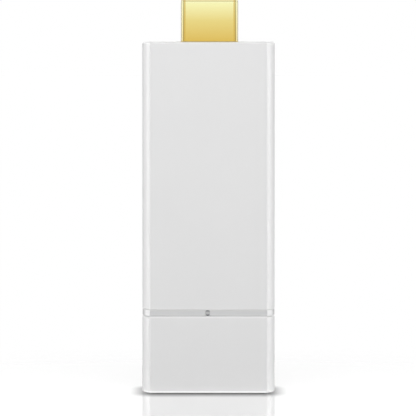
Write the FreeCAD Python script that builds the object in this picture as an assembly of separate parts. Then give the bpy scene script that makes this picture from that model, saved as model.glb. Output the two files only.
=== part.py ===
"""Streaming media player: a stick with an HDMI plug, standing on its tail cap.

Millimetres.  +Z runs from the tail cap to the plug, +X is the width, -Y is the front face.
The origin is the middle of the tail cap's end face.
"""
import FreeCAD, Part
import math
import os

# ---- driving dimensions -------------------------------------------------------------------
# Housing
body_width = 32.2          # across the bulge of the side walls
body_depth = 12.0          # front face to back face
body_height = 85.05        # tail face to plug end
side_bulge = 1.95          # how far the curved side walls stand out past the flat faces
tail_height = 18.6         # tail cap
band_height = 1.55         # ring between cap and housing
band_recess = 0.2           # ring's front and back behind the faces
band_side_recess = 0.05     # ring's sides behind the side walls
wall = 1.3
end_wall = 1.4             # housing's plug end
tail_end_wall = 1.4
cap_wall = 1.2
neck_wall = 1.0            # reduced lower part of the shells, inside the cap
neck_lift = 0.3            # neck's end above the cap's end wall
shoulder = 1.3             # where the neck meets the housing
crease_radius = 0.2        # edges between the flat faces and the side walls
top_bevel = 0.3            # bevel round the plug end
top_radius = 0.12          # between that bevel and the plug end's face
tail_bevel = 0.26          # bevel round the tail face
seam_bevel = 0.2           # shells' rim above the ring
cap_bevel = 0.3            # cap's rim below it
band_bevel = 0.16          # ring's lower edge
band_top_bevel = 0.08      # its upper edge, under the shells' rim
parting_width = 0.16       # fine groove where the two shells meet
parting_depth = 0.1
lip_height = 0.8           # rear shell's lip inside the front shell
lip_thickness = 0.6
lip_end = 1.0              # lip stops short of the cavity's ends
rib = 0.8
rib_length = 2.0           # along Z, on the board's edges
neck_rib_z = 10.5
neck_rib_setback = 2.0     # beside the board's notch
neck_rib_length = 3.0
cradle_setback = 3.0       # cradle ribs from the ends of the plug's cover
boss_radius = 1.6
boss_setback = 2.6         # upper bosses below the board's shoulder
lower_pin_height = 5.0     # lower pin above the neck
catch_z = 12.4             # snap ridges that hold the cap
catch_width = 8.0
catch_height = 0.8
catch_depth = 0.3

# HDMI plug
plug_x = 0.25              # a little off the middle
plug_width = 13.9
plug_depth = 4.45
plug_exposed = 10.2
plug_sheet = 0.3
plug_flank = 2.75          # straight part of the narrow sides
plug_back_width = 10.4     # narrow wide-side, between the slanted corners
plug_corner = 1.2
plug_rim = 0.1             # rounding of its mouth
plug_lip = 0.6             # mouth is drawn in over this length
plug_lip_step = 0.05       # by this much
nose_setback = 0.8         # insulator's nose behind the mouth
slot_width = 11.8
slot_length = 8.0
latch_width = 2.2          # openings for the socket's springs
latch_height = 2.6
latch_setback = 3.6
latch_pitch = 6.4
cover_height = 13.8
cover_sheet = 0.3
cover_corner = 0.6
front_contacts = 9
back_contacts = 10
contact_pitch = 1.0
contact_width = 0.3
contact_thickness = 0.2
contact_tip = 0.5          # behind the nose
contact_tail = 2.0         # over the board

# Circuit board
board_thickness = 1.0
board_lift = 0.2           # board above the neck's end
board_tab_height = 5.5     # tab that enters the plug's cover
shell_lift = 0.5           # plug's shell above the tab
side_lane = 4.1            # strip along each edge kept for bosses, pins and the switch
screw_radius = 0.7
screw_head_radius = 1.3
screw_head_height = 0.6
screw_head_edge = 0.2
screw_length = 3.4
cross_length = 1.5         # cross recess in the head
cross_width = 0.32
cross_depth = 0.35
pin_radius = 0.75
pin_length = 0.4           # past the board

# Parts on the board
chip_size = 12.0
chip_height = 0.9
chip_edge = 0.15
memory_width = 11.0
memory_length = 8.5
memory_height = 1.0
flash_size = 5.0
flash_height = 1.5
lead_pitch = 1.27
lead_reach = 1.1           # past the package's side
crystal_length = 3.2
crystal_width = 2.0
crystal_height = 0.7
inductor_size = 3.2
inductor_height = 1.6
regulator_length = 2.9
regulator_width = 1.6
regulator_height = 1.1
power_x = 3.4              # inductors and regulators, each side of the middle
inductor_setback = 4.6     # above the inlet
regulator_pitch = 4.0      # from inductors to regulators
capacitor_setback = 8.6    # above the inlet
capacitor_size = (1.0, 0.9, 1.6)
small_capacitor_size = (0.8, 0.8, 1.2)
capacitor_pitch = 2.6
capacitor_count = 5
resistor_size = (0.6, 0.35, 1.1)
resistor_pitch = 2.4
resistor_count = 6
resistor_row = 2.5         # from a row of capacitors
shield_setback = 2.4       # below the board's shoulder
shield_height = 1.6
shield_skirt = 0.85
shield_sheet = 0.15
shield_margin = 1.4        # chips to the shield's ends
crystal_gap = 3.7          # between the two chips, for the crystal
spreader_thickness = 0.8
spreader_length = 30.0
pad_margin = 1.0           # chip's pad inside the chip
gap_pad_margin = 1.5       # spreader's pad inside the shield
wifi_setback = 2.6         # above the housing's lower end
wifi_size = 13.0
flash_to_wifi = 0.7
wifi_board = 0.7
wifi_can_margin = 0.8
wifi_can_height = 1.6
led_length = 1.6
led_width = 0.8
led_height = 0.6
antenna_width = 2.8
antenna_length = 9.5
antenna_height = 1.8
antenna_sheet = 0.2
antenna_frame = 0.8        # strip width round its slot
antenna_leg_pitch = 1.4
antenna_edge = 0.6         # in from the board's edge

# Status light
light_x = -0.2             # a little off the middle, the other way from the plug
window_gap = 0.13          # light pipe to the rims above and below the ring
pipe_width = 1.04
pipe_corner = 0.45
pipe_crown = 1.5           # radius of its front, curved from rim to rim
pipe_border = 0.6          # flange past the pipe, each way
pipe_flange = 0.6
pipe_setback = 0.05        # behind the ring's face
pipe_to_led = 0.3

# Side button and its switch
button_z = 34.0
button_length = 7.0
button_width = 2.6
button_flange = 0.5
button_overhang = 0.7      # flange past the opening, each way
button_travel = 0.3
guide_depth = 0.35         # guide frame, inwards from the side wall
guide_border = 0.4         # guide frame past the flange
nub_reach = 0.35           # from the flange to the switch's plunger
nub_length = 1.8
nub_width = 1.2
switch_length = 4.2
switch_width = 3.0
switch_height = 1.5
switch_edge = 0.4          # in from the board's edge
cover_border = 0.3         # switch's cover in from the switch's sides
plunger_length = 1.7
plunger_width = 0.7
plunger_root = 1.2         # inside the switch at rest

# Micro-USB inlet
usb_width = 7.5
usb_depth = 2.8
usb_length = 5.5
usb_sheet = 0.25
usb_back_width = 5.7
usb_flank = 1.6
usb_corner = 0.4
usb_setback = 0.6          # mouth behind the tail face
usb_block = 1.4            # plastic block that closes its back
ear_width = 1.0            # past the board's notch
ear_length = 1.1
tongue_width = 3.7
tongue_thickness = 0.6
tongue_back = -0.15        # its contact side
tongue_setback = 0.5
usb_contacts = 5
usb_contact_pitch = 0.65
usb_contact_width = 0.3
usb_contact_thickness = 0.1
port_chamfer = 0.25        # round the opening in the cap

# Label on the back
label_width = 20.0
label_length = 20.0
label_thickness = 0.1
label_recess = 0.15
label_corner = 1.0
label_border = 0.15        # recess past the film
label_to_vents = 2.6

# Vents in the back
vent_count = 6
vent_pitch = 2.0
vent_slot = 0.9
vent_length = 12.0
vent_setback = 1.5         # top slot below the board's shoulder

# Clearances
cap_gap = 0.1              # neck inside the cap
lip_gap = 0.1
plug_gap = 0.15            # plug in the housing's end
board_gap = 0.35           # board edge to neck
button_gap = 0.12          # button in its opening
flange_gap = 0.05          # button flange to guide frame, at rest
seat_gap = 0.05            # small running and seating gaps
thread_gap = 0.02          # screw shank in its boss
tunnel_gap = 0.02          # contacts through the insulator
light_gap = 0.06           # light pipe in the ring
catch_gap = 0.08           # snap ridges in their recesses
hole_gap = 0.1             # screws through the board
end_gap = 0.1              # plug's cover between its stops
port_gap = 0.35            # inlet in the cap's end
overlap = 0.2              # how far a rib or boss roots into its wall

# ---- places that follow from them ---------------------------------------------------------
half_depth = body_depth / 2
side_radius = (half_depth ** 2 + side_bulge ** 2) / (2 * side_bulge)
side_centre = body_width / 2 - side_radius
shoulder_z = tail_height + band_height
end_wall_z = body_height - end_wall
neck_inset = cap_wall + cap_gap
neck_inside = neck_inset + neck_wall
neck_bottom = tail_end_wall + neck_lift
cavity_bottom = shoulder_z + shoulder
inner_y = half_depth - wall
neck_inner_y = half_depth - neck_inside

board_face = board_thickness / 2
board_half = body_width / 2 - neck_inside - board_gap
board_bottom = neck_bottom + board_lift
cover_top = end_wall_z - end_gap
cover_bottom = cover_top - cover_height
stop_rib_top = cover_bottom - end_gap
board_shoulder = stop_rib_top - rib
board_top = cover_bottom + board_tab_height
lane_x = board_half - side_lane / 2
plug_top = body_height + plug_exposed
shell_bottom = board_top + shell_lift
insulator_bottom = board_top + end_gap
nose_z = plug_top - nose_setback
contact_face = board_face + contact_thickness

upper_boss_z = board_shoulder - boss_setback
screw_places = [(-lane_x, button_z), (lane_x, upper_boss_z)]
pin_places = [(lane_x, shoulder_z + lower_pin_height), (-lane_x, upper_boss_z)]

vent_top_z = board_shoulder - vent_setback
vent_bottom_z = vent_top_z - (vent_count - 1) * vent_pitch
label_z = vent_bottom_z - label_to_vents - label_length / 2

shield_half = board_half - side_lane
shield_top = board_shoulder - shield_setback
shield_length = chip_size + crystal_gap + memory_length + 2 * shield_margin
shield_bottom = shield_top - shield_length
shield_z = (shield_top + shield_bottom) / 2
shield_face = board_face + shield_height
chip_z = shield_top - shield_margin - chip_size / 2
memory_z = shield_bottom + shield_margin + memory_length / 2
crystal_z = memory_z + memory_length / 2 + crystal_gap / 2
wifi_z = shoulder_z + wifi_setback + wifi_size / 2
flash_z = wifi_z + wifi_size / 2 + flash_to_wifi + flash_size / 2

led_z = tail_height + band_height / 2
pipe_front = half_depth - band_recess - pipe_setback
pipe_inner = board_face + led_height + pipe_to_led

guide_x = body_width / 2 - wall - guide_depth
flange_outer = guide_x - flange_gap
flange_inner = flange_outer - button_flange
switch_outer = board_half - switch_edge
plunger_tip = flange_inner - nub_reach
plunger_y = board_face + switch_height / 2

usb_back = usb_setback + usb_length
usb_notch_half = usb_width / 2 + end_gap
neck_rib_x = usb_notch_half + neck_rib_setback
inductor_z = usb_back + inductor_setback
regulator_z = inductor_z + regulator_pitch
capacitor_z = usb_back + capacitor_setback


# ---- helpers ------------------------------------------------------------------------------
def point(x, y, z):
    return FreeCAD.Vector(x, y, z)


def box(x0, x1, y0, y1, z0, z1):
    """A box between six planes."""
    return Part.makeBox(x1 - x0, y1 - y0, z1 - z0, point(x0, y0, z0))


def centred_box(x, y, z, width, depth, height):
    """A box about a centre."""
    return box(x - width / 2, x + width / 2, y - depth / 2, y + depth / 2, z - height / 2, z + height / 2)


def rod_y(radius, x, z, y0, y1):
    """A round bar along Y."""
    return Part.makeCylinder(radius, y1 - y0, point(x, y0, z), point(0, 1, 0))


def pill_x(length, width, y, z, x0, x1):
    """A bar along X with a stadium section, long in Z."""
    reach = length / 2 - width / 2
    bar = box(x0, x1, y - width / 2, y + width / 2, z - reach, z + reach)
    for end in (z - reach, z + reach):
        bar = bar.fuse(Part.makeCylinder(width / 2, x1 - x0, point(x0, y, end), point(1, 0, 0)))
    return bar.removeSplitter()


def joined(solid, others):
    """One solid from a solid and the pieces that grow out of it."""
    return solid.fuse(others).removeSplitter()


def edges_at(solid, z):
    """Edges that lie in the plane at height z."""
    return [edge for edge in solid.Edges if all(abs(v.Z - z) < 1e-6 for v in edge.Vertexes)]


def edges_along_z(solid):
    """Straight edges parallel to Z."""
    found = []
    for edge in solid.Edges:
        a, b = edge.Vertexes[0].Point, edge.Vertexes[-1].Point
        if abs(a.x - b.x) < 1e-6 and abs(a.y - b.y) < 1e-6 and abs(a.z - b.z) > 1e-3:
            found.append(edge)
    return found


def edges_along_y(solid):
    """Straight edges parallel to Y."""
    found = []
    for edge in solid.Edges:
        a, b = edge.Vertexes[0].Point, edge.Vertexes[-1].Point
        if abs(a.x - b.x) < 1e-6 and abs(a.z - b.z) < 1e-6 and abs(a.y - b.y) > 1e-3:
            found.append(edge)
    return found


def edges_facing(solid, y):
    """Edges that lie in the plane at distance y."""
    return [edge for edge in solid.Edges if all(abs(v.Y - y) < 1e-6 for v in edge.Vertexes)]


def body_prism(inset, z0, z1, side_inset=None):
    """The stick's section, two flat faces and two arced sides, moved inwards by inset.

    The sides move by side_inset where it is given.
    """
    y = half_depth - inset
    radius = side_radius - (inset if side_inset is None else side_inset)
    x = side_centre + math.sqrt(radius ** 2 - y ** 2)
    side = side_centre + radius
    corners = [point(-x, -y, z0), point(x, -y, z0), point(x, y, z0), point(-x, y, z0)]
    outline = [
        Part.LineSegment(corners[0], corners[1]).toShape(),
        Part.Arc(corners[1], point(side, 0, z0), corners[2]).toShape(),
        Part.LineSegment(corners[2], corners[3]).toShape(),
        Part.Arc(corners[3], point(-side, 0, z0), corners[0]).toShape(),
    ]
    return Part.Face(Part.Wire(outline)).extrude(point(0, 0, z1 - z0))


def bevelled_prism(inset, z0, z1, low_bevel, high_bevel, side_inset=None):
    """The stick's section between two heights, with a bevel round each end."""
    block = body_prism(inset, z0, z1, side_inset)
    block = block.makeChamfer(low_bevel, edges_at(block, z0))
    return block.makeChamfer(high_bevel, edges_at(block, z1))


def body_ring(outer, inner, z0, z1):
    """A ring with the stick's section between two insets."""
    return body_prism(outer, z0, z1).cut(body_prism(inner, z0, z1))


def offset_outline(points, distance):
    """Move each side of a counter-clockwise polygon outwards by distance."""
    count = len(points)
    lines = []
    for i in range(count):
        (x0, y0), (x1, y1) = points[i], points[(i + 1) % count]
        length = math.hypot(x1 - x0, y1 - y0)
        normal = ((y1 - y0) / length, -(x1 - x0) / length)
        lines.append((normal, normal[0] * x0 + normal[1] * y0 + distance))
    moved = []
    for i in range(count):
        (a, p), (b, q) = lines[i - 1], lines[i]
        det = a[0] * b[1] - a[1] * b[0]
        moved.append(((p * b[1] - q * a[1]) / det, (a[0] * q - b[0] * p) / det))
    return moved


def tapered_prism(width, depth, flank, back_width, corner, grow, z0, z1):
    """A connector's section: wide front, straight flanks, slanted back corners, all rounded."""
    front = -depth / 2
    back = depth / 2
    outline = [
        (-width / 2, front),
        (width / 2, front),
        (width / 2, front + flank),
        (back_width / 2, back),
        (-back_width / 2, back),
        (-width / 2, front + flank),
    ]
    corners = [point(x, y, z0) for x, y in offset_outline(outline, grow)]
    face = Part.Face(Part.makePolygon(corners + corners[:1]))
    prism = face.extrude(point(0, 0, z1 - z0))
    return prism.makeFillet(corner + grow, edges_along_z(prism))


def plug_prism(grow, z0, z1):
    """The HDMI plug's outline."""
    prism = tapered_prism(plug_width, plug_depth, plug_flank, plug_back_width, plug_corner, grow, z0, z1)
    return prism.translated(point(plug_x, 0, 0))


def usb_prism(grow, z0, z1):
    """The micro-USB inlet's outline."""
    return tapered_prism(usb_width, usb_depth, usb_flank, usb_back_width, usb_corner, grow, z0, z1)


# ---- housing ------------------------------------------------------------------------------
def housing_blank():
    """Both shells in one: housing and neck, hollow, open at the tail."""
    outer = bevelled_prism(0, shoulder_z, body_height, seam_bevel, top_bevel)
    outer = outer.makeFillet(top_radius, edges_at(outer, body_height))
    outer = outer.makeFillet(crease_radius, edges_along_z(outer))
    solid = outer.fuse(body_prism(neck_inset, neck_bottom, shoulder_z + shoulder))
    solid = solid.cut(body_prism(wall, cavity_bottom, end_wall_z))
    solid = solid.cut(body_prism(neck_inside, neck_bottom - 1, cavity_bottom + 1))
    solid = solid.cut(plug_prism(plug_gap, end_wall_z - 1, body_height + 1))
    solid = solid.cut(parting_groove())
    return solid.fuse(button_guide()).cut(button_bar(button_gap)).removeSplitter()


def parting_groove():
    """Skin of the housing along the plane Y = 0."""
    slab = box(-body_width, body_width, -parting_width / 2, parting_width / 2, shoulder_z, body_height + 1)
    return slab.cut(body_prism(parting_depth, shoulder_z, body_height - parting_depth))


def button_guide():
    """Frame inside the side wall that thickens it round the button."""
    half_z = button_length / 2 + button_overhang + guide_border
    half_y = button_width / 2 + button_overhang + guide_border
    frame = box(guide_x, body_width / 2, -half_y, half_y, button_z - half_z, button_z + half_z)
    return frame.common(body_prism(wall / 2, cavity_bottom, end_wall_z))


def button_bar(grow):
    """The button's stadium, long enough to cross the side wall."""
    length = button_length + 2 * grow
    width = button_width + 2 * grow
    return pill_x(length, width, 0, button_z, flange_inner, body_width / 2 + 1)


def lip_ring(outer, inner, clearance):
    """Side strips of the lip where the shells meet, above and below the button."""
    reach = button_length / 2 + button_overhang + guide_border + rib - clearance
    spans = [
        (cavity_bottom + lip_end - clearance, button_z - reach),
        (button_z + reach, end_wall_z - lip_end + clearance),
    ]
    strips = []
    for z0, z1 in spans:
        slab = box(-body_width, body_width, -lip_height - clearance, 0, z0, z1)
        strips.append(body_ring(outer, inner, z0, z1).common(slab))
    return strips[0].fuse(strips[1])


def board_rests(side):
    """Ribs of one shell that stop just short of the board, and the cover's stop and cradle."""
    near = board_face + seat_gap
    root = inner_y + overlap
    neck_root = neck_inner_y + overlap
    left, right = plug_x - plug_width / 2, plug_x + plug_width / 2
    cover_face = plug_depth / 2 + cover_sheet + 2 * seat_gap
    high = upper_boss_z - boss_radius - rib_length
    ribs = []
    for x in (-lane_x, lane_x):
        for z in (wifi_z, (wifi_z + high) / 2, high):
            ribs.append(rib_y(side, x, z, rib, rib_length, near, root))
    for x in (-neck_rib_x, neck_rib_x):
        ribs.append(rib_y(side, x, neck_rib_z, rib, neck_rib_length, near, neck_root))
    ribs.append(span_y(side, left, right, near, root, board_shoulder + end_gap, stop_rib_top))
    for z in (cover_bottom + cradle_setback, cover_top - cradle_setback):
        ribs.append(rib_y(side, plug_x, z, plug_width, rib, cover_face, root))
    return ribs


def rib_y(side, x, z, width, length, near, far):
    """A block about a point in X and Z, between two distances from the middle plane."""
    return span_y(side, x - width / 2, x + width / 2, near, far, z - length / 2, z + length / 2)


def span_y(side, x0, x1, near, far, z0, z1):
    """A block between two distances from the middle plane, on the front (-1) or back (+1)."""
    if side < 0:
        return box(x0, x1, -far, -near, z0, z1)
    return box(x0, x1, near, far, z0, z1)


def cap_catch(side, grow):
    """Snap ridge across the neck, and with grow the recess for it in the cap."""
    y = half_depth - neck_inset
    return rib_y(side, 0, catch_z, catch_width + 2 * grow, catch_height + 2 * grow,
                 y - catch_depth, y + catch_depth + grow)


def front_shell():
    """Front half of housing and neck, with bosses, locating pins and the light pipe's hole."""
    half = box(-body_width, body_width, -body_depth, 0, 0, plug_top)
    shell = housing_blank().common(half)
    shell = shell.cut(lip_ring(wall - lip_thickness - lip_gap, wall + lip_gap, lip_gap))
    grown = board_rests(-1)
    grown.append(cap_catch(-1, 0))
    for x, z in screw_places + pin_places:
        grown.append(rod_y(boss_radius, x, z, -inner_y - overlap, -board_face))
    for x, z in pin_places:
        grown.append(rod_y(pin_radius, x, z, -board_face - overlap, board_face + pin_length))
    shell = joined(shell, grown)
    for x, z in screw_places:
        bottom = board_face - screw_length - pin_length
        shell = shell.cut(rod_y(screw_radius + thread_gap, x, z, bottom, 0))
    return shell.cut(light_bar(seat_gap, -half_depth, 0))


def rear_shell():
    """Back half of housing and neck, with the lip, the label's recess and the vents."""
    half = box(-body_width, body_width, 0, body_depth, 0, plug_top)
    shell = housing_blank().common(half)
    grown = board_rests(1)
    grown.append(cap_catch(1, 0))
    grown.append(lip_ring(wall - lip_thickness, wall, 0))
    shell = joined(shell, grown)
    shell = shell.cut(label_block(half_depth, 2 * label_recess, label_border))
    for i in range(vent_count):
        shell = shell.cut(vent(vent_bottom_z + i * vent_pitch))
    return shell


def label_block(y, thickness, grow):
    """The label's rounded rectangle about a plane of constant Y."""
    block = centred_box(0, y, label_z, label_width + 2 * grow, thickness, label_length + 2 * grow)
    return block.makeFillet(label_corner + grow, edges_along_y(block))


def vent(z):
    """One round-ended vent slot through the back wall."""
    reach = vent_length / 2 - vent_slot / 2
    inner, outer = inner_y - overlap, half_depth + overlap
    slot = box(-reach, reach, inner, outer, z - vent_slot / 2, z + vent_slot / 2)
    for x in (-reach, reach):
        slot = slot.fuse(rod_y(vent_slot / 2, x, z, inner, outer))
    return slot.removeSplitter()


def tail_cap():
    """Cup over the neck, with the inlet's opening in its end and recesses for the snap ridges."""
    cap = bevelled_prism(0, 0, tail_height, tail_bevel, cap_bevel)
    cap = cap.makeFillet(crease_radius, edges_along_z(cap))
    cap = cap.cut(body_prism(cap_wall, tail_end_wall, tail_height + 1))
    cap = cap.cut(usb_prism(port_gap, -1, tail_end_wall + 1))
    mouth = [edge for edge in edges_at(cap, 0) if edge.BoundBox.DiagonalLength < 2 * usb_width
             and abs(edge.CenterOfMass.x) < usb_width]
    cap = cap.makeChamfer(port_chamfer, mouth)
    for side in (-1, 1):
        cap = cap.cut(cap_catch(side, catch_gap))
    return cap


def accent_band():
    """Ring round the neck between cap and housing, a little behind their faces, with the light's hole."""
    band = bevelled_prism(band_recess, tail_height, shoulder_z, band_bevel, band_top_bevel, band_side_recess)
    band = band.cut(body_prism(neck_inset - seat_gap, tail_height, shoulder_z))
    return band.cut(light_bar(light_gap, -half_depth, 0))


def light_bar(grow, y0, y1):
    """The light pipe's rounded section, moved outwards by grow."""
    height = band_height - 2 * window_gap
    bar = box(light_x - pipe_width / 2 - grow, light_x + pipe_width / 2 + grow, y0, y1,
              led_z - height / 2 - grow, led_z + height / 2 + grow)
    return bar.makeFillet(pipe_corner + grow, edges_along_y(bar))


def status_light_pipe():
    """Clear bar through ring and neck, crowned in front, with a flange that rests inside the neck."""
    start = point(light_x - pipe_width, pipe_crown - pipe_front, led_z)
    crown = Part.makeCylinder(pipe_crown, 2 * pipe_width, start, point(1, 0, 0))
    front = light_bar(0, -pipe_front, -pipe_front + pipe_crown).common(crown)
    stem = light_bar(0, -pipe_front + pipe_crown / 2, -pipe_inner)
    flange = light_bar(pipe_border, -neck_inner_y, -neck_inner_y + pipe_flange)
    return joined(front, [stem, flange])


def rear_label():
    """Blank film in its recess."""
    return label_block(half_depth - label_recess + label_thickness / 2, label_thickness, 0)


def board_screws():
    """Pan heads on the board's back, shanks through it into the front shell's bosses."""
    top = board_face + screw_head_height
    screws = []
    for x, z in screw_places:
        head = rod_y(screw_head_radius, x, z, board_face, top)
        head = head.makeFillet(screw_head_edge, edges_facing(head, top))
        shank = rod_y(screw_radius, x, z, board_face - screw_length, top - cross_depth)
        screw = joined(head, [shank])
        for width, height in ((cross_length, cross_width), (cross_width, cross_length)):
            screw = screw.cut(centred_box(x, top, z, width, 2 * cross_depth, height))
        screws.append(screw)
    return Part.makeCompound(screws)


# ---- HDMI plug ----------------------------------------------------------------------------
def hdmi_plug_shell():
    """Folded sheet tube with a rolled mouth, and two latch openings and the seam in its back."""
    lip_z = plug_top - plug_lip
    outer = plug_prism(0, shell_bottom, lip_z)
    outer = outer.makeChamfer(plug_lip_step, edges_at(outer, lip_z))
    lip = plug_prism(-plug_lip_step, shell_bottom, plug_top)
    outer = outer.fuse(lip.makeFillet(plug_rim, edges_at(lip, plug_top)))
    shell = outer.cut(plug_prism(-plug_sheet, shell_bottom - 1, plug_top + 1))
    back = plug_depth / 2
    latch_z = plug_top - latch_setback - latch_height / 2
    for x in (plug_x - latch_pitch / 2, plug_x + latch_pitch / 2):
        shell = shell.cut(centred_box(x, back, latch_z, latch_width, 4 * plug_sheet, latch_height))
    middle = (shell_bottom + plug_top) / 2
    return shell.cut(centred_box(plug_x, back, middle, seat_gap, 4 * plug_sheet, 2 * plug_top))


def contact_rows():
    """Side, X of each strip: the back row has one more, half a pitch over."""
    rows = []
    for side, count in ((-1, front_contacts), (1, back_contacts)):
        for i in range(count):
            rows.append((side, plug_x + (i - (count - 1) / 2) * contact_pitch))
    return rows


def hdmi_insulator():
    """Plastic body behind a slot, with a tunnel for each contact."""
    block = plug_prism(-plug_sheet - seat_gap, insulator_bottom, nose_z)
    block = block.cut(centred_box(plug_x, 0, nose_z, slot_width, 2 * contact_face, 2 * slot_length))
    half = contact_width / 2 + tunnel_gap
    near, far = board_face - tunnel_gap, contact_face + tunnel_gap
    tunnels = []
    for side, x in contact_rows():
        tunnels.append(span_y(side, x - half, x + half, near, far, board_top, nose_z - slot_length + 1))
    return block.cut(tunnels)


def hdmi_contacts():
    """Straight strips from the slot to the board's tab, on both faces of the slot."""
    tip = nose_z - contact_tip
    tail = board_top - contact_tail
    half = contact_width / 2
    strips = []
    for side, x in contact_rows():
        strips.append(span_y(side, x - half, x + half, board_face, contact_face, tail, tip))
    return Part.makeCompound(strips)


def hdmi_rear_cover():
    """Sheet box round the part of the plug that is inside the housing."""
    width = plug_width + 2 * seat_gap
    depth = plug_depth + 2 * seat_gap
    z = cover_bottom + cover_height / 2
    cover = centred_box(plug_x, 0, z, width + 2 * cover_sheet, depth + 2 * cover_sheet, cover_height)
    cover = cover.makeFillet(cover_corner, edges_along_z(cover))
    return cover.cut(centred_box(plug_x, 0, z, width, depth, cover_height + 2))


# ---- board and what is soldered to it -----------------------------------------------------
def circuit_board():
    """A long board with a tab for the plug, a notch for the inlet, and holes for screws and pins."""
    outline = box(-board_half, board_half, -board_face, board_face, board_bottom, board_shoulder)
    tab = plug_width / 2 - seat_gap
    left, right = plug_x - tab, plug_x + tab
    board = joined(outline, [box(left, right, -board_face, board_face, board_shoulder - 1, board_top)])
    notch_top = usb_back + end_gap
    board = board.cut(box(-usb_notch_half, usb_notch_half, -board_thickness, board_thickness, 0, notch_top))
    for x, z in screw_places:
        board = board.cut(rod_y(screw_radius + hole_gap, x, z, -board_thickness, board_thickness))
    for x, z in pin_places:
        board = board.cut(rod_y(pin_radius + seat_gap, x, z, -board_thickness, board_thickness))
    return board


def front_block(x, z, width, height, length):
    """A block soldered to the front of the board."""
    return centred_box(x, -board_face - height / 2, z, width, height, length)


def back_block(x, z, width, height, length):
    """A block soldered to the back of the board."""
    return centred_box(x, board_face + height / 2, z, width, height, length)


def system_chip():
    """Large flat package with a small bevel round its top."""
    chip = front_block(0, chip_z, chip_size, chip_height, chip_size)
    return chip.makeChamfer(chip_edge, edges_facing(chip, -board_face - chip_height))


def memory_chip():
    return front_block(0, memory_z, memory_width, memory_height, memory_length)


def flash_chip():
    """Eight-lead package: a body just off the board and two rows of four leads."""
    body = back_block(0, flash_z, flash_size, flash_height, flash_size)
    body = body.cut(back_block(0, flash_z, 2 * flash_size, flash_height / 10, 2 * flash_size))
    leads = []
    for side in (-1, 1):
        x = side * (flash_size + lead_reach) / 2
        for i in range(4):
            z = flash_z + (i - 1.5) * lead_pitch
            leads.append(back_block(x, z, lead_reach + overlap, flash_height / 2, lead_pitch / 3))
    return joined(body, leads)


def crystal():
    return front_block(-crystal_length / 2, crystal_z, crystal_length, crystal_height, crystal_width)


def power_inductors():
    coils = [back_block(x, inductor_z, inductor_size, inductor_height, inductor_size)
             for x in (-power_x, power_x)]
    return Part.makeCompound(coils)


def power_regulators():
    chips = [back_block(x, regulator_z, regulator_length, regulator_height, regulator_width)
             for x in (-power_x, power_x)]
    return Part.makeCompound(chips)


def row(block, count, pitch, z, size):
    """Equal small parts side by side on one face of the board."""
    width, height, length = size
    return [block((i - (count - 1) / 2) * pitch, z, width, height, length) for i in range(count)]


def capacitors():
    """A row by the inlet on the front, and smaller ones behind the large chip."""
    front = row(front_block, capacitor_count, capacitor_pitch, capacitor_z, capacitor_size)
    back = row(back_block, capacitor_count, capacitor_pitch, chip_z, small_capacitor_size)
    return Part.makeCompound(front + back)


def resistors():
    """A row beside each row of capacitors."""
    front = row(front_block, resistor_count, resistor_pitch, capacitor_z + resistor_row, resistor_size)
    back = row(back_block, resistor_count, resistor_pitch, chip_z - resistor_row, resistor_size)
    return Part.makeCompound(front + back)


def rf_shield_frame():
    """Open fence round the two chips."""
    width = 2 * shield_half
    thin = 2 * shield_sheet
    frame = front_block(0, shield_z, width, shield_height, shield_length)
    return frame.cut(front_block(0, shield_z, width - thin, shield_height + 1, shield_length - thin))


def rf_shield_lid():
    """Lid with a short skirt outside the frame."""
    width = 2 * shield_half
    grow = 2 * (seat_gap + shield_sheet)
    outer = front_block(0, shield_z, width + grow, shield_height + shield_sheet, shield_length + grow)
    inner = front_block(0, shield_z, width + 2 * seat_gap, shield_height, shield_length + 2 * seat_gap)
    open_height = shield_height + shield_sheet - shield_skirt
    below = front_block(0, shield_z, 2 * width, open_height, 2 * shield_length)
    return outer.cut(inner).cut(below)


def chip_thermal_pad():
    """Pad from the large chip to the shield's lid."""
    half = chip_size / 2 - pad_margin
    return box(-half, half, -shield_face, -board_face - chip_height, chip_z - half, chip_z + half)


def spreader_thermal_pad():
    """Pad from the shield's lid to the heat spreader."""
    y0 = -inner_y + spreader_thickness
    y1 = -shield_face - shield_sheet
    half = shield_half - gap_pad_margin
    return box(-half, half, y0, y1, shield_bottom + gap_pad_margin, shield_top - gap_pad_margin)


def heat_spreader():
    """Plate against the inside of the front wall."""
    y = -inner_y + spreader_thickness / 2
    return centred_box(0, y, shield_z, 2 * (shield_half - overlap), spreader_thickness, spreader_length)


def wifi_module():
    return back_block(0, wifi_z, wifi_size, wifi_board, wifi_size)


def wifi_shield():
    """Can over the radio module, open to the board."""
    width = wifi_size - 2 * wifi_can_margin
    y0 = board_face + wifi_board
    can = centred_box(0, y0 + wifi_can_height / 2, wifi_z, width, wifi_can_height, width)
    inside = width - 2 * shield_sheet
    y = y0 - shield_sheet + wifi_can_height / 2
    return can.cut(centred_box(0, y, wifi_z, inside, wifi_can_height, inside))


def led_chip():
    return front_block(light_x, led_z, led_length, led_height, led_width)


def antenna(side):
    """Stamped frame standing over the board on a feed leg and a ground leg at its inner edge."""
    outer = side * (board_half - antenna_edge)
    inner = outer - side * antenna_width
    middle = (inner + outer) / 2
    z0 = usb_back + antenna_edge
    centre = z0 + antenna_length / 2
    slot_width_x = antenna_width - 2 * antenna_frame
    slot_z = centre + antenna_leg_pitch / 2
    slot_reach = antenna_length - 2 * antenna_frame - antenna_leg_pitch
    near = board_face + antenna_height - antenna_sheet
    far = board_face + antenna_height
    plate = rib_y(-1, middle, centre, antenna_width, antenna_length, near, far)
    plate = plate.cut(rib_y(-1, middle, slot_z, slot_width_x, slot_reach, near - 1, far + 1))
    leg_x = inner + side * antenna_sheet / 2
    legs = []
    for z in (z0 + antenna_frame / 2, z0 + antenna_frame / 2 + antenna_leg_pitch):
        legs.append(rib_y(-1, leg_x, z, antenna_sheet, antenna_frame, board_face, far))
    return joined(plate, legs)


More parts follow.
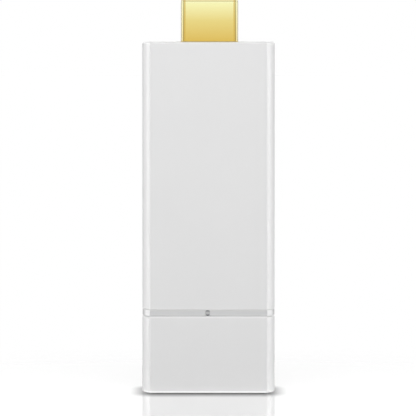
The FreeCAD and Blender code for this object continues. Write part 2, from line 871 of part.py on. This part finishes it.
# ---- side button --------------------------------------------------------------------------
def mode_button():
    """Cap flush with the curved side wall, retaining flange behind it and a nub for the switch."""
    cap = button_bar(0).common(body_prism(0, cavity_bottom, end_wall_z))
    flange = pill_x(button_length + 2 * button_overhang, button_width + 2 * button_overhang,
                    0, button_z, flange_inner, flange_outer)
    nub = centred_box(flange_inner, plunger_y, button_z, 2 * nub_reach, nub_width, nub_length)
    return joined(cap, [flange, nub])


def tact_switch_body():
    """Block at the board's edge with a pocket for its plunger and the plunger's travel."""
    body = back_block(switch_outer - switch_width / 2, button_z, switch_width, switch_height, switch_length)
    depth = plunger_root + button_travel + 4 * seat_gap
    pocket = centred_box(switch_outer, plunger_y, button_z, 2 * depth,
                         plunger_width + 2 * seat_gap, plunger_length + 2 * seat_gap)
    return body.cut(pocket)


def tact_switch_cover():
    """Sheet over the switch with a leg down each end to the board."""
    x = switch_outer - switch_width / 2
    width = switch_width - 2 * cover_border
    length = switch_length + 2 * shield_sheet
    bridge = back_block(x, button_z, width, switch_height + shield_sheet, length)
    return bridge.cut(back_block(x, button_z, 2 * width, switch_height, switch_length))


def tact_switch_plunger():
    """Bar from the switch's pocket to the button's nub."""
    length = plunger_tip - switch_outer + plunger_root
    return centred_box(plunger_tip - length / 2, plunger_y, button_z, length, plunger_width, plunger_length)


# ---- micro-USB inlet ----------------------------------------------------------------------
def micro_usb_shell():
    """Sheet tube with four ears that rest on the board beside its notch."""
    shell = usb_prism(0, usb_setback, usb_back)
    reach = usb_notch_half + ear_width
    ears = []
    for z in (neck_bottom + ear_length, usb_back - ear_length):
        ears.append(rib_y(1, 0, z, 2 * reach, ear_length, board_face, board_face + usb_sheet))
    return joined(shell, ears).cut(usb_prism(-usb_sheet, 0, usb_back + 1))


def micro_usb_tongue():
    """Block that closes the tube's back, with the tongue that carries the contacts."""
    block_z = usb_back - usb_block
    block = usb_prism(-usb_sheet - tunnel_gap, block_z, usb_back)
    half = tongue_width / 2
    front = tongue_back - tongue_thickness
    tongue = box(-half, half, front, tongue_back, usb_setback + tongue_setback, block_z + overlap)
    return joined(block, [tongue])


def micro_usb_contacts():
    """Strips on the tongue's back."""
    z0 = usb_setback + tongue_setback + overlap
    z1 = usb_back - usb_block
    half = usb_contact_width / 2
    strips = []
    for i in range(usb_contacts):
        x = (i - (usb_contacts - 1) / 2) * usb_contact_pitch
        strips.append(box(x - half, x + half, tongue_back, tongue_back + usb_contact_thickness, z0, z1))
    return Part.makeCompound(strips)


# ---- write one file per piece -------------------------------------------------------------
pieces = {
    "front_shell": front_shell,
    "rear_shell": rear_shell,
    "tail_cap": tail_cap,
    "accent_band": accent_band,
    "status_light_pipe": status_light_pipe,
    "rear_label": rear_label,
    "board_screws": board_screws,
    "hdmi_plug_shell": hdmi_plug_shell,
    "hdmi_insulator": hdmi_insulator,
    "hdmi_contacts": hdmi_contacts,
    "hdmi_rear_cover": hdmi_rear_cover,
    "circuit_board": circuit_board,
    "system_chip": system_chip,
    "memory_chip": memory_chip,
    "flash_chip": flash_chip,
    "crystal": crystal,
    "power_inductors": power_inductors,
    "power_regulators": power_regulators,
    "capacitors": capacitors,
    "resistors": resistors,
    "rf_shield_frame": rf_shield_frame,
    "rf_shield_lid": rf_shield_lid,
    "chip_thermal_pad": chip_thermal_pad,
    "spreader_thermal_pad": spreader_thermal_pad,
    "heat_spreader": heat_spreader,
    "wifi_module": wifi_module,
    "wifi_shield": wifi_shield,
    "antenna_left": lambda: antenna(-1),
    "antenna_right": lambda: antenna(1),
    "led_chip": led_chip,
    "mode_button": mode_button,
    "tact_switch_body": tact_switch_body,
    "tact_switch_cover": tact_switch_cover,
    "tact_switch_plunger": tact_switch_plunger,
    "micro_usb_shell": micro_usb_shell,
    "micro_usb_tongue": micro_usb_tongue,
    "micro_usb_contacts": micro_usb_contacts,
}

os.makedirs("parts", exist_ok=True)
for name, make in pieces.items():
    shape = make()
    shape.exportStep("parts/" + name + ".step")
    print(name, len(shape.Solids), round(shape.Volume, 3))
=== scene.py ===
"""Looks of the streaming media player: a finish for every piece, and a plain studio.

Metres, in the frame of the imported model: +Z runs from the tail cap to the plug, -Y is the front face.
"""
import math

import bpy
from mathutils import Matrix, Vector


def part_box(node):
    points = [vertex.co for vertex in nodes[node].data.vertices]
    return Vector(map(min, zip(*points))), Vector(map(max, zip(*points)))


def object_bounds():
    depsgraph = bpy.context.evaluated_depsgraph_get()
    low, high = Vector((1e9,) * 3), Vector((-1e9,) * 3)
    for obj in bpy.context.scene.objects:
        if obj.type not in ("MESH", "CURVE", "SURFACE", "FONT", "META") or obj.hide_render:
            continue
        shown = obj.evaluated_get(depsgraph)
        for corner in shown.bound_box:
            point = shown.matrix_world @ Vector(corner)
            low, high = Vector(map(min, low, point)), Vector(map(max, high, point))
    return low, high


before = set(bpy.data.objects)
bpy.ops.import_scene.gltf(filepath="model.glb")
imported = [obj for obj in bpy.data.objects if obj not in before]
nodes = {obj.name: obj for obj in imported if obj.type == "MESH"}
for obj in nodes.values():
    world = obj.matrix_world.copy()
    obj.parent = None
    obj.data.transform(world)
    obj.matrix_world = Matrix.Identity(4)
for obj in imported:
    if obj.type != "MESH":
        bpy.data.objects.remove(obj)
cad_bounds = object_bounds()

mm = 0.001

# ---- studio sizes -------------------------------------------------------------------------
view_width = 101.2 * mm        # width of the picture at the object
view_centre_z = 44.61 * mm
view_centre_x = -0.12 * mm
camera_back = 1400 * mm        # camera in front of the object
camera_height = 113 * mm
camera_reach = 20.0            # nothing further off is drawn
sensor_width = 36.0            # in millimetres, as a camera has it

white = (1, 1, 1, 1)
black = (0, 0, 0, 1)
room_fill = 0.06               # even light of the room on matt surfaces
table_glow = 0.22              # light that the table gives of its own
foot_glow = 0.42               # and gains close to the object, on everything but the camera
foot_reach = 2.6 * mm          # how far that goes before and behind the object
foot_narrow = 3.0              # it goes this many times less far beside it

floor_size = 6.0
floor_drop = 0.02 * mm         # the table lies this far below the object
table_ior = 1.45
table_gloss = 0.02             # roughness of its mirror
table_matt = (0.95, 0.95, 0.95)     # its colour in the light that it throws back
table_shown = (0.98, 0.98, 0.98)    # and to the camera, gloss and glass
stage_clear = 60 * mm          # the floor keeps its own light this far out
stage_white = 150 * mm         # past this it is plain white to the camera
shade_inset = 2.8 * mm         # the contact shadow starts this far inside the sides
shade_side = 5.8 * mm          # its reach sideways
shade_front = 13.5 * mm        # and before and behind the object
shade_depth = 0.06             # light left at its foot
shade_ease = 0.3               # share of its rise that is eased at both ends

# ---- finish, painted light and painted shade sizes ----------------------------------------
painted_highlight_polish_edge = 0.36 * mm      # edges of the white shells that are rubbed smooth and carry a painted highlight
edge_gloss = 0.05              # roughness that they lose
crease_low = 0.28 * mm         # the cap's lower crease above its end
crease_high = 0.31 * mm        # and its upper one below its top
crease_highlight_reach = 0.18 * mm       # reach of the painted highlight line along both
groove_reach = 0.17 * mm       # painted shade line where the two shells meet

ring_highlight_low = 0.32 * mm      # the ring's lower painted highlight line above its lower edge
ring_highlight_high = 0.22 * mm     # and its upper one below its upper edge
ring_highlight_reach = 0.20 * mm
guide_rise = 0.04 * mm         # the light guide's painted light in its middle sits this far above the ring's middle
guide_share = 0.42             # its reach as a share of the ring's height

lip_highlight = 0.60 * mm          # painted highlight line round the plug, this far from its mouth
lip_highlight_reach = 0.14 * mm
lip_start = 0.52 * mm          # the lip's darker tone, painted shade, begins this far from the mouth
lip_full = 0.46 * mm           # and is full here
lip_shade = 0.38 * mm          # shaded line on the lip
lip_shade_reach = 0.16 * mm
root_full = 0.10 * mm          # the plug's root keeps its full shade this far above the shells
root_end = 0.24 * mm           # and has none left here
plug_edge = 0.12 * mm          # edges of the plug that are rubbed dull
plug_edge_wear = 0.06          # roughness that they gain


# ---- shader helpers -----------------------------------------------------------------------
def new_material(name):
    """A material with one Principled shader, and its node tree."""
    material = bpy.data.materials.new(name)
    material.use_nodes = True
    return material, material.node_tree


def put(tree, kind, sockets=None, **settings):
    """Add a node.  A socket value that is itself a socket gets linked."""
    made = tree.nodes.new(kind)
    for key, value in settings.items():
        setattr(made, key, value)
    for key, value in (sockets or {}).items():
        if isinstance(value, bpy.types.NodeSocket):
            tree.links.new(value, made.inputs[key])
        else:
            made.inputs[key].default_value = value
    return made


def surface(tree, **sockets):
    """Set the Principled shader's sockets; underscores stand for spaces."""
    shader = tree.nodes["Principled BSDF"]
    for key, value in sockets.items():
        socket = shader.inputs[key.replace("_", " ")]
        if isinstance(value, bpy.types.NodeSocket):
            tree.links.new(value, socket)
        else:
            socket.default_value = value
    return shader


def place(tree):
    """Position on the object, in metres."""
    return put(tree, "ShaderNodeTexCoord").outputs["Object"]


def along(tree, axis):
    """Position on the object along one axis."""
    return put(tree, "ShaderNodeSeparateXYZ", {0: place(tree)}).outputs[axis]


def noise(tree, size, detail=2.0, roughness=0.5, stretch=None):
    """Soft noise with features of about that size, drawn out along each axis whose stretch is under 1."""
    at = place(tree)
    if stretch is not None:
        at = put(tree, "ShaderNodeMapping", {"Vector": at, "Scale": stretch}).outputs[0]
    sockets = {"Vector": at, "Scale": 1 / size, "Detail": detail, "Roughness": roughness}
    return put(tree, "ShaderNodeTexNoise", sockets).outputs[0]


def spread(tree, value, low, high, start=0.0, end=1.0, smooth=False):
    """Map start..end onto low..high."""
    kind = "SMOOTHSTEP" if smooth else "LINEAR"
    sockets = {"Value": value, "From Min": start, "From Max": end, "To Min": low, "To Max": high}
    return put(tree, "ShaderNodeMapRange", sockets, interpolation_type=kind).outputs[0]


def calculate(tree, operation, a, b=0.0):
    """One step of arithmetic."""
    return put(tree, "ShaderNodeMath", {0: a, 1: b}, operation=operation).outputs[0]


def vector(tree, operation, a, b=(0, 0, 0)):
    """One step of arithmetic on vectors."""
    return put(tree, "ShaderNodeVectorMath", {0: a, 1: b}, operation=operation).outputs[0]


def length(tree, value):
    """Length of a vector."""
    return put(tree, "ShaderNodeVectorMath", {0: value}, operation="LENGTH").outputs["Value"]


def tint(tree, factor, first, second):
    """Mix two colours, each three numbers or a socket."""
    made = put(tree, "ShaderNodeMix", {"Factor": factor}, data_type="RGBA")
    colour_sockets = made.inputs[6], made.inputs[7]
    for socket, colour in zip(colour_sockets, (first, second)):
        if isinstance(colour, bpy.types.NodeSocket):
            tree.links.new(colour, socket)
        else:
            socket.default_value = (*colour, 1)
    return made.outputs[2]


def bump(tree, height, depth):
    """Raise the surface by depth where height is 1."""
    return put(tree, "ShaderNodeBump", {"Height": height, "Distance": depth, "Strength": 1.0}).outputs[0]


def edge_mask(tree, radius):
    """Near 1 along edges, where rounding them would turn the surface, and 0 on flat stretches."""
    rounded = put(tree, "ShaderNodeBevel", {"Radius": radius}, samples=4).outputs[0]
    flat = put(tree, "ShaderNodeNewGeometry").outputs["Normal"]
    aligned = put(tree, "ShaderNodeVectorMath", {0: rounded, 1: flat}, operation="DOT_PRODUCT")
    return spread(tree, aligned.outputs["Value"], 1.0, 0.0, start=0.90, end=0.99)


def turned(tree):
    """How far the surface has turned towards either side: 0 at the front, 1 square to the side."""
    normal = put(tree, "ShaderNodeNewGeometry").outputs["Normal"]
    across = put(tree, "ShaderNodeSeparateXYZ", {0: normal}).outputs["X"]
    return calculate(tree, "ABSOLUTE", across)


def peak(tree, value, centre, reach):
    """1 at centre, falling to 0 at reach on both sides."""
    away = calculate(tree, "ABSOLUTE", calculate(tree, "SUBTRACT", value, centre))
    return spread(tree, away, 1.0, 0.0, end=reach, smooth=True)


def seen_rays(tree):
    """1 for rays that show the room or the table to the camera, in gloss or through glass."""
    path = put(tree, "ShaderNodeLightPath").outputs
    seen = calculate(tree, "MAXIMUM", path["Is Camera Ray"], path["Is Glossy Ray"])
    return calculate(tree, "MAXIMUM", seen, path["Is Transmission Ray"])


# ---- finishes, each named as the slot that it dresses -------------------------------------
def cap_creases():
    """Heights of the two creases round the cap, where its bevels start."""
    low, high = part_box("tail_cap")
    return low.z + crease_low, high.z - crease_high


def white_plastic(seamed=False):
    """Satin moulded plastic: fine spark texture, slow tone and gloss changes, polished edges.

    It has painted shade where the sides turn out of sight, and painted highlights on its edges and along
    the creases of the cap's flat faces.
    A seamed one has painted shade in a line along the groove where the two shells meet.
    """
    material, tree = new_material("white_plastic_seamed" if seamed else "white_plastic")
    grain = noise(tree, size=0.09 * mm, detail=3)
    cloud = noise(tree, size=9 * mm)
    smudge = noise(tree, size=3.5 * mm, detail=4, roughness=0.6)
    edges = edge_mask(tree, painted_highlight_polish_edge)
    side = turned(tree)
    flat = spread(tree, side, 1.0, 0.0, start=0.05, end=0.25)
    # Painted shade: the colour darkens where the sides turn square to either side.
    outline = spread(tree, side, 0.0, 1.0, start=0.945, smooth=True)
    height = along(tree, "Z")
    colour = tint(tree, cloud, (0.795, 0.795, 0.797), (0.812, 0.812, 0.812))
    colour = tint(tree, outline, colour, (0.63, 0.63, 0.632))
    # Painted highlight: edges paler in colour; the same mask also lowers their roughness.
    colour = tint(tree, edges, colour, (0.96, 0.96, 0.96))
    # Painted highlight: a paler line along each crease of the cap's flat faces.
    for crease in cap_creases():
        line = calculate(tree, "MULTIPLY", flat, peak(tree, height, crease, crease_highlight_reach))
        colour = tint(tree, line, colour, (0.98, 0.98, 0.98))
    if seamed:
        # Painted shade: a dark line in the groove where the two shells meet.
        groove = peak(tree, along(tree, "Y"), 0, groove_reach)
        colour = tint(tree, groove, colour, (0.33, 0.33, 0.335))
    rough = spread(tree, smudge, 0.31, 0.34, start=0.3, end=0.7)
    surface(
        tree,
        Base_Color=colour,
        Roughness=calculate(tree, "SUBTRACT", rough, calculate(tree, "MULTIPLY", edges, edge_gloss)),
        Normal=bump(tree, grain, depth=0.002 * mm),
        IOR=1.40,
    )
    return material


def band_silver():
    """Pale satin silver lacquer with a faint brushing round the ring.

    A painted highlight line runs near either edge of it, and its sides are paler by painted light, with a
    painted shade outline.
    """
    material, tree = new_material("band_silver")
    lines = noise(tree, size=0.05 * mm, detail=3, stretch=(0.04, 0.04, 1))
    cloud = noise(tree, size=5 * mm)
    height = along(tree, "Z")
    low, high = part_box("accent_band")
    side = turned(tree)
    painted_light_side = spread(tree, side, 0, 1, start=0.05, end=0.40)
    outline = spread(tree, side, 0, 1, start=0.90, smooth=True)
    colour = tint(tree, cloud, (0.63, 0.632, 0.636), (0.66, 0.662, 0.665))
    # Painted highlight: a pale line near either edge of the ring.
    for line in (low.z + ring_highlight_low, high.z - ring_highlight_high):
        colour = tint(tree, peak(tree, height, line, ring_highlight_reach), colour, (0.72, 0.72, 0.722))
    # Painted light: the ring's rounded sides paler than its front.
    colour = tint(tree, painted_light_side, colour, (0.74, 0.74, 0.742))
    # Painted shade: darker outline where the ring's sides turn square.
    colour = tint(tree, outline, colour, (0.40, 0.40, 0.402))
    surface(
        tree,
        Base_Color=colour,
        Metallic=0.22,
        Roughness=spread(tree, lines, 0.44, 0.54, start=0.3, end=0.7),
        Normal=bump(tree, lines, depth=0.001 * mm),
    )
    return material


def clear_plastic():
    """Light guide of smoked plastic: painted light in its middle, painted shade towards its upper and
    lower ends.
    """
    material, tree = new_material("clear_plastic")
    haze = noise(tree, size=0.4 * mm, detail=3)
    low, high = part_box("accent_band")
    centre = (low.z + high.z) / 2 + guide_rise
    # Painted light in the guide's middle.
    painted_light_middle = peak(tree, along(tree, "Z"), centre, guide_share * (high.z - low.z))
    # Smoked plastic, whose darker ends are also painted shade.
    smoked = tint(tree, haze, (0.27, 0.275, 0.285), (0.32, 0.325, 0.335))
    surface(
        tree,
        Base_Color=tint(tree, painted_light_middle, smoked, (0.80, 0.80, 0.81)),
        Roughness=spread(tree, haze, 0.12, 0.22),
        Normal=bump(tree, haze, depth=0.004 * mm),
        Transmission_Weight=0.3,
        IOR=1.49,
    )
    return material


def label_film():
    """Blank matt film with a soft orange-peel surface."""
    material, tree = new_material("label_film")
    peel = noise(tree, size=0.35 * mm)
    cloud = noise(tree, size=6 * mm)
    surface(
        tree,
        Base_Color=tint(tree, cloud, (0.72, 0.72, 0.725), (0.745, 0.745, 0.748)),
        Roughness=spread(tree, cloud, 0.26, 0.36),
        Normal=bump(tree, peel, depth=0.003 * mm),
    )
    return material


def gold_plate():
    """Polished gold plating with fine drawing lines.

    It is paler towards the mouth by painted light, with a painted highlight line and a lip with painted
    shade there, a shaded root, and painted reflections as bands round the bends.
    """
    material, tree = new_material("gold_plate")
    height = along(tree, "Z")
    foot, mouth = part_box("front_shell")[1].z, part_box("hdmi_plug_shell")[1].z
    waist = (foot + mouth) / 2
    # Painted light: the plating is darker at the plug's root and paler towards its mouth.
    lower = spread(tree, height, 0, 1, start=foot, end=waist)
    upper = spread(tree, height, 0, 1, start=waist, end=mouth)
    # Painted highlight: a bright line round the plug near its mouth.
    painted_highlight = peak(tree, height, mouth - lip_highlight, lip_highlight_reach)
    # Painted shade: the lip darker than the plating below it.
    lip = spread(tree, height, 0, 1, start=mouth - lip_start, end=mouth - lip_full)
    lip_line = peak(tree, height, mouth - lip_shade, lip_shade_reach)
    root = spread(tree, height, 1, 0, start=foot + root_full, end=foot + root_end)
    across = turned(tree)
    # Painted reflection: dark and pale bands where the plug's sides bend round, and painted shade on its
    # flanks.
    painted_reflection_start = peak(tree, across, centre=0.20, reach=0.17)
    painted_reflection_middle = peak(tree, across, centre=0.43, reach=0.13)
    painted_reflection_end = peak(tree, across, centre=0.66, reach=0.13)
    painted_flank_shade = spread(tree, across, 0, 1, start=0.75, end=0.83)
    colour = tint(tree, lower, (0.735, 0.508, 0.112), (0.828, 0.684, 0.240))
    # Tones laid over it: painted highlight, painted shade on the lip, painted reflections at the bends,
    # painted shade on the flanks and root.
    for part, tone in (
        (upper, (0.975, 0.973, 0.530)),
        (painted_highlight, (0.995, 0.985, 0.60)),
        (lip, (0.86, 0.77, 0.41)),
        (lip_line, (0.70, 0.64, 0.32)),
        (painted_reflection_start, (0.66, 0.455, 0.105)),
        (painted_reflection_middle, (0.30, 0.225, 0.055)),
        (painted_reflection_end, (0.86, 0.82, 0.54)),
        (painted_flank_shade, (0.35, 0.33, 0.26)),
        (root, (0.50, 0.40, 0.16)),
    ):
        colour = tint(tree, part, colour, tone)
    lines = noise(tree, size=0.07 * mm, detail=4, stretch=(1, 1, 0.03))
    cloud = noise(tree, size=1.6 * mm, detail=3)
    rough = calculate(tree, "MULTIPLY", edge_mask(tree, plug_edge), plug_edge_wear)
    rough = calculate(tree, "ADD", rough, spread(tree, across, 0, 0.32, start=0.66, end=0.80))
    surface(
        tree,
        Base_Color=colour,
        Metallic=1.0,
        Specular_Tint=(0.45, 0.42, 0.34, 1),
        Roughness=calculate(tree, "ADD", spread(tree, cloud, 0.13, 0.19), rough),
        Normal=bump(tree, lines, depth=0.0006 * mm),
    )
    return material


def nickel_sheet():
    """Nickel-plated sheet with rolling lines."""
    material, tree = new_material("nickel_sheet")
    lines = noise(tree, size=0.06 * mm, detail=3, stretch=(1, 1, 0.05))
    cloud = noise(tree, size=2 * mm)
    surface(
        tree,
        Base_Color=tint(tree, cloud, (0.60, 0.59, 0.565), (0.68, 0.67, 0.645)),
        Metallic=1.0,
        Roughness=spread(tree, lines, 0.22, 0.34),
        Normal=bump(tree, lines, depth=0.001 * mm),
    )
    return material


def screw_steel():
    """Dark plated steel, rubbed bright on its edges."""
    material, tree = new_material("screw_steel")
    cloud = noise(tree, size=0.5 * mm, detail=3)
    wear = edge_mask(tree, 0.08 * mm)
    surface(
        tree,
        Base_Color=tint(tree, wear, (0.20, 0.20, 0.21), (0.55, 0.55, 0.55)),
        Metallic=1.0,
        Roughness=spread(tree, cloud, 0.28, 0.42),
        Normal=bump(tree, cloud, depth=0.002 * mm),
    )
    return material


def aluminium_plate():
    """Rolled aluminium."""
    material, tree = new_material("aluminium_plate")
    lines = noise(tree, size=0.1 * mm, detail=3, stretch=(0.05, 1, 1))
    surface(
        tree,
        Base_Color=tint(tree, lines, (0.66, 0.67, 0.68), (0.76, 0.77, 0.78)),
        Metallic=1.0,
        Roughness=spread(tree, lines, 0.3, 0.45),
        Normal=bump(tree, lines, depth=0.002 * mm),
    )
    return material


def black_plastic():
    """Glass-filled black plastic: matte, with short pale fibres under the skin."""
    material, tree = new_material("black_plastic")
    fibres = noise(tree, size=0.05 * mm, detail=4, stretch=(1, 1, 0.3))
    surface(
        tree,
        Base_Color=tint(tree, fibres, (0.022, 0.022, 0.024), (0.045, 0.045, 0.047)),
        Roughness=spread(tree, fibres, 0.42, 0.6),
        Normal=bump(tree, fibres, depth=0.002 * mm),
    )
    return material


def board_green():
    """Solder mask over copper: slightly raised tracks show as a lighter green."""
    material, tree = new_material("board_green")
    sockets = {"Vector": place(tree), "Scale": 1 / (1.1 * mm)}
    cells = put(tree, "ShaderNodeTexVoronoi", sockets, distance="CHEBYCHEV", feature="DISTANCE_TO_EDGE")
    tracks = spread(tree, cells.outputs["Distance"], 1.0, 0.0, start=0.04, end=0.12)
    surface(
        tree,
        Base_Color=tint(tree, tracks, (0.012, 0.085, 0.045), (0.03, 0.16, 0.085)),
        Roughness=spread(tree, noise(tree, size=1.5 * mm), 0.22, 0.34),
        Normal=bump(tree, tracks, depth=0.02 * mm),
        Coat_Weight=0.3,
    )
    return material


def chip_black():
    """Moulded epoxy with a fine grain."""
    material, tree = new_material("chip_black")
    grain = noise(tree, size=0.06 * mm, detail=3)
    surface(
        tree,
        Base_Color=tint(tree, grain, (0.03, 0.03, 0.033), (0.055, 0.055, 0.06)),
        Roughness=spread(tree, grain, 0.5, 0.7),
        Normal=bump(tree, grain, depth=0.003 * mm),
    )
    return material


def capacitor_tan():
    """Fired ceramic, speckled."""
    material, tree = new_material("capacitor_tan")
    specks = noise(tree, size=0.12 * mm, detail=4)
    surface(
        tree,
        Base_Color=tint(tree, specks, (0.40, 0.27, 0.16), (0.56, 0.41, 0.27)),
        Roughness=spread(tree, specks, 0.35, 0.5),
        Normal=bump(tree, specks, depth=0.003 * mm),
    )
    return material


def pad_grey():
    """Soft gap filler with a woven backing pressed into it."""
    material, tree = new_material("pad_grey")
    sockets = {"Vector": place(tree), "Scale": 1 / (0.9 * mm), "Distortion": 0.6}
    weave = put(tree, "ShaderNodeTexWave", sockets, bands_direction="DIAGONAL").outputs["Fac"]
    surface(
        tree,
        Base_Color=tint(tree, weave, (0.36, 0.41, 0.47), (0.44, 0.49, 0.55)),
        Roughness=spread(tree, noise(tree, size=1 * mm), 0.6, 0.8),
        Normal=bump(tree, weave, depth=0.01 * mm),
    )
    return material


def led_lens():
    """Clear epoxy over yellow phosphor."""
    material, tree = new_material("led_lens")
    phosphor = noise(tree, size=0.1 * mm, detail=3)
    surface(
        tree,
        Base_Color=tint(tree, phosphor, (0.72, 0.62, 0.22), (0.85, 0.78, 0.4)),
        Roughness=spread(tree, phosphor, 0.12, 0.25),
        Normal=bump(tree, phosphor, depth=0.002 * mm),
        Coat_Weight=0.5,
    )
    return material


finishes = (
    white_plastic, band_silver, clear_plastic, label_film, gold_plate, nickel_sheet, screw_steel,
    aluminium_plate, black_plastic, board_green, chip_black, capacitor_tan, pad_grey, led_lens,
)


def dress_nodes():
    """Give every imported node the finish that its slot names."""
    made = {finish.__name__: finish() for finish in finishes}
    for piece in nodes.values():
        for held in piece.material_slots:
            held.material = made[held.material.name.split(".")[0]]
    seamed = white_plastic(seamed=True)
    for name in ("front_shell", "rear_shell"):
        for held in nodes[name].material_slots:
            held.material = seamed


# ---- studio -------------------------------------------------------------------------------
def set_camera():
    """A long lens from the front, a little above the object."""
    eye = Vector((view_centre_x, -camera_back, camera_height))
    target = Vector((view_centre_x, 0, view_centre_z))
    reach = target - eye
    data = bpy.data.cameras.new("camera")
    data.sensor_width = sensor_width
    data.lens = sensor_width * reach.length / view_width
    data.clip_end = camera_reach
    camera = bpy.data.objects.new("camera", data)
    camera.location = eye
    camera.rotation_euler = reach.to_track_quat("-Z", "Y").to_euler()
    bpy.context.scene.collection.objects.link(camera)
    bpy.context.scene.camera = camera


def soft_lamp(name, azimuth, elevation, distance, width, height, level, mirrored=False):
    """A soft box aimed at the object's middle; its sides are shares of its distance.

    A white surface that faces it gains level.  Only a mirrored one shows in gloss.
    """
    data = bpy.data.lights.new(name, "AREA")
    data.shape = "RECTANGLE"
    data.size = width * distance
    data.size_y = height * distance
    data.energy = level * math.pi ** 2 * distance ** 2
    lamp = bpy.data.objects.new(name, data)
    turn, tilt = math.radians(azimuth), math.radians(elevation)
    aim = Vector((math.sin(turn) * math.cos(tilt), -math.cos(turn) * math.cos(tilt), math.sin(tilt)))
    lamp.location = Vector((0, 0, view_centre_z)) + aim * distance
    lamp.rotation_euler = aim.to_track_quat("Z", "Y").to_euler()
    lamp.visible_camera = False
    lamp.visible_glossy = mirrored
    bpy.context.scene.collection.objects.link(lamp)


def light_studio():
    """Tall narrow boxes behind each side, near ones above the front, and wide ones behind."""
    for side in (-1, 1):
        soft_lamp(f"side_box_{side}", azimuth=side * 119, elevation=10, distance=1.0,
                  width=0.134, height=0.78, level=0.385, mirrored=True)
    soft_lamp("front_high", azimuth=0, elevation=33, distance=0.45, width=0.60, height=0.44, level=0.335)
    soft_lamp("front_top", azimuth=0, elevation=66, distance=0.36, width=0.67, height=0.44, level=0.375)
    soft_lamp("back_high", azimuth=180, elevation=42, distance=1.0, width=0.56, height=0.44, level=0.22)
    soft_lamp("back_top", azimuth=180, elevation=75, distance=0.8, width=0.67, height=0.44, level=0.08)


def fill_world():
    """An even white room to the camera, gloss and glass, and a weaker fill on matt surfaces."""
    world = bpy.data.worlds.new("room")
    world.use_nodes = True
    bpy.context.scene.world = world
    tree = world.node_tree
    tree.nodes.clear()
    strength = spread(tree, seen_rays(tree), room_fill, 1.0)
    glow = put(tree, "ShaderNodeBackground", {"Color": white, "Strength": strength})
    out = put(tree, "ShaderNodeOutputWorld")
    tree.links.new(glow.outputs[0], out.inputs["Surface"])


def outside(tree, inset):
    """How far a point of the floor lies beyond the object's sides, per axis."""
    low, high = cad_bounds
    half = ((high[0] - low[0]) / 2 - inset, (high[1] - low[1]) / 2, 0)
    beyond = vector(tree, "SUBTRACT", vector(tree, "ABSOLUTE", place(tree)), half)
    return vector(tree, "MAXIMUM", beyond)


def contact_shade(tree):
    """1 on the open floor, falling towards the foot of the object."""
    away = length(tree, vector(tree, "DIVIDE", outside(tree, shade_inset), (shade_side, shade_front, 1)))
    straight = spread(tree, away, shade_depth, 1.0)
    eased = spread(tree, away, shade_depth, 1.0, smooth=True)
    return put(tree, "ShaderNodeMix", {"Factor": shade_ease, "A": straight, "B": eased}).outputs[0]


def table_light(tree):
    """The table's own light, stronger round the foot of the object but not to the camera."""
    camera_ray = put(tree, "ShaderNodeLightPath").outputs["Is Camera Ray"]
    away = length(tree, vector(tree, "MULTIPLY", outside(tree, 0), (foot_narrow, 1, 1)))
    near = spread(tree, away, foot_glow, 0.0, end=foot_reach, smooth=True)
    near = calculate(tree, "MULTIPLY", near, calculate(tree, "SUBTRACT", 1.0, camera_ray))
    return calculate(tree, "ADD", near, table_glow)


def lay_floor():
    """A glossy white table, shaded and mirroring near the object and plain white further out."""
    half = floor_size / 2
    mesh = bpy.data.meshes.new("floor")
    corners = [(-half, -half, 0), (half, -half, 0), (half, half, 0), (-half, half, 0)]
    mesh.from_pydata(corners, [], [(0, 1, 2, 3)])
    floor = bpy.data.objects.new("floor", mesh)
    bpy.context.scene.collection.objects.link(floor)
    floor.location.z = cad_bounds[0][2] - floor_drop
    material, tree = new_material("floor")
    seen = seen_rays(tree)
    matt = surface(
        tree,
        Base_Color=tint(tree, seen, table_matt, table_shown),
        Roughness=1.0,
        Specular_IOR_Level=0.0,
        Emission_Color=white,
        Emission_Strength=table_light(tree),
    )
    plain = put(tree, "ShaderNodeEmission", {"Color": white, "Strength": 1.0})
    dark = put(tree, "ShaderNodeEmission", {"Color": black, "Strength": 0.0})
    mirror = put(tree, "ShaderNodeBsdfGlossy", {"Color": white, "Roughness": table_gloss})
    fresnel = put(tree, "ShaderNodeFresnel", {"IOR": table_ior}).outputs[0]
    far = spread(tree, length(tree, place(tree)), 0, 1, start=stage_clear, end=stage_white, smooth=True)
    shade = calculate(tree, "SUBTRACT", 1.0, contact_shade(tree))
    layer = matt
    for weight, upper in (
        (calculate(tree, "MULTIPLY", far, seen), plain),
        (fresnel, mirror),
        (calculate(tree, "MULTIPLY", shade, seen), dark),
    ):
        layer = put(tree, "ShaderNodeMixShader", {0: weight, 1: layer.outputs[0], 2: upper.outputs[0]})
    tree.links.new(layer.outputs[0], tree.nodes["Material Output"].inputs["Surface"])
    mesh.materials.append(material)


dress_nodes()
set_camera()
light_studio()
fill_world()
lay_floor()

scene = bpy.context.scene
scene.view_settings.view_transform = "Standard"
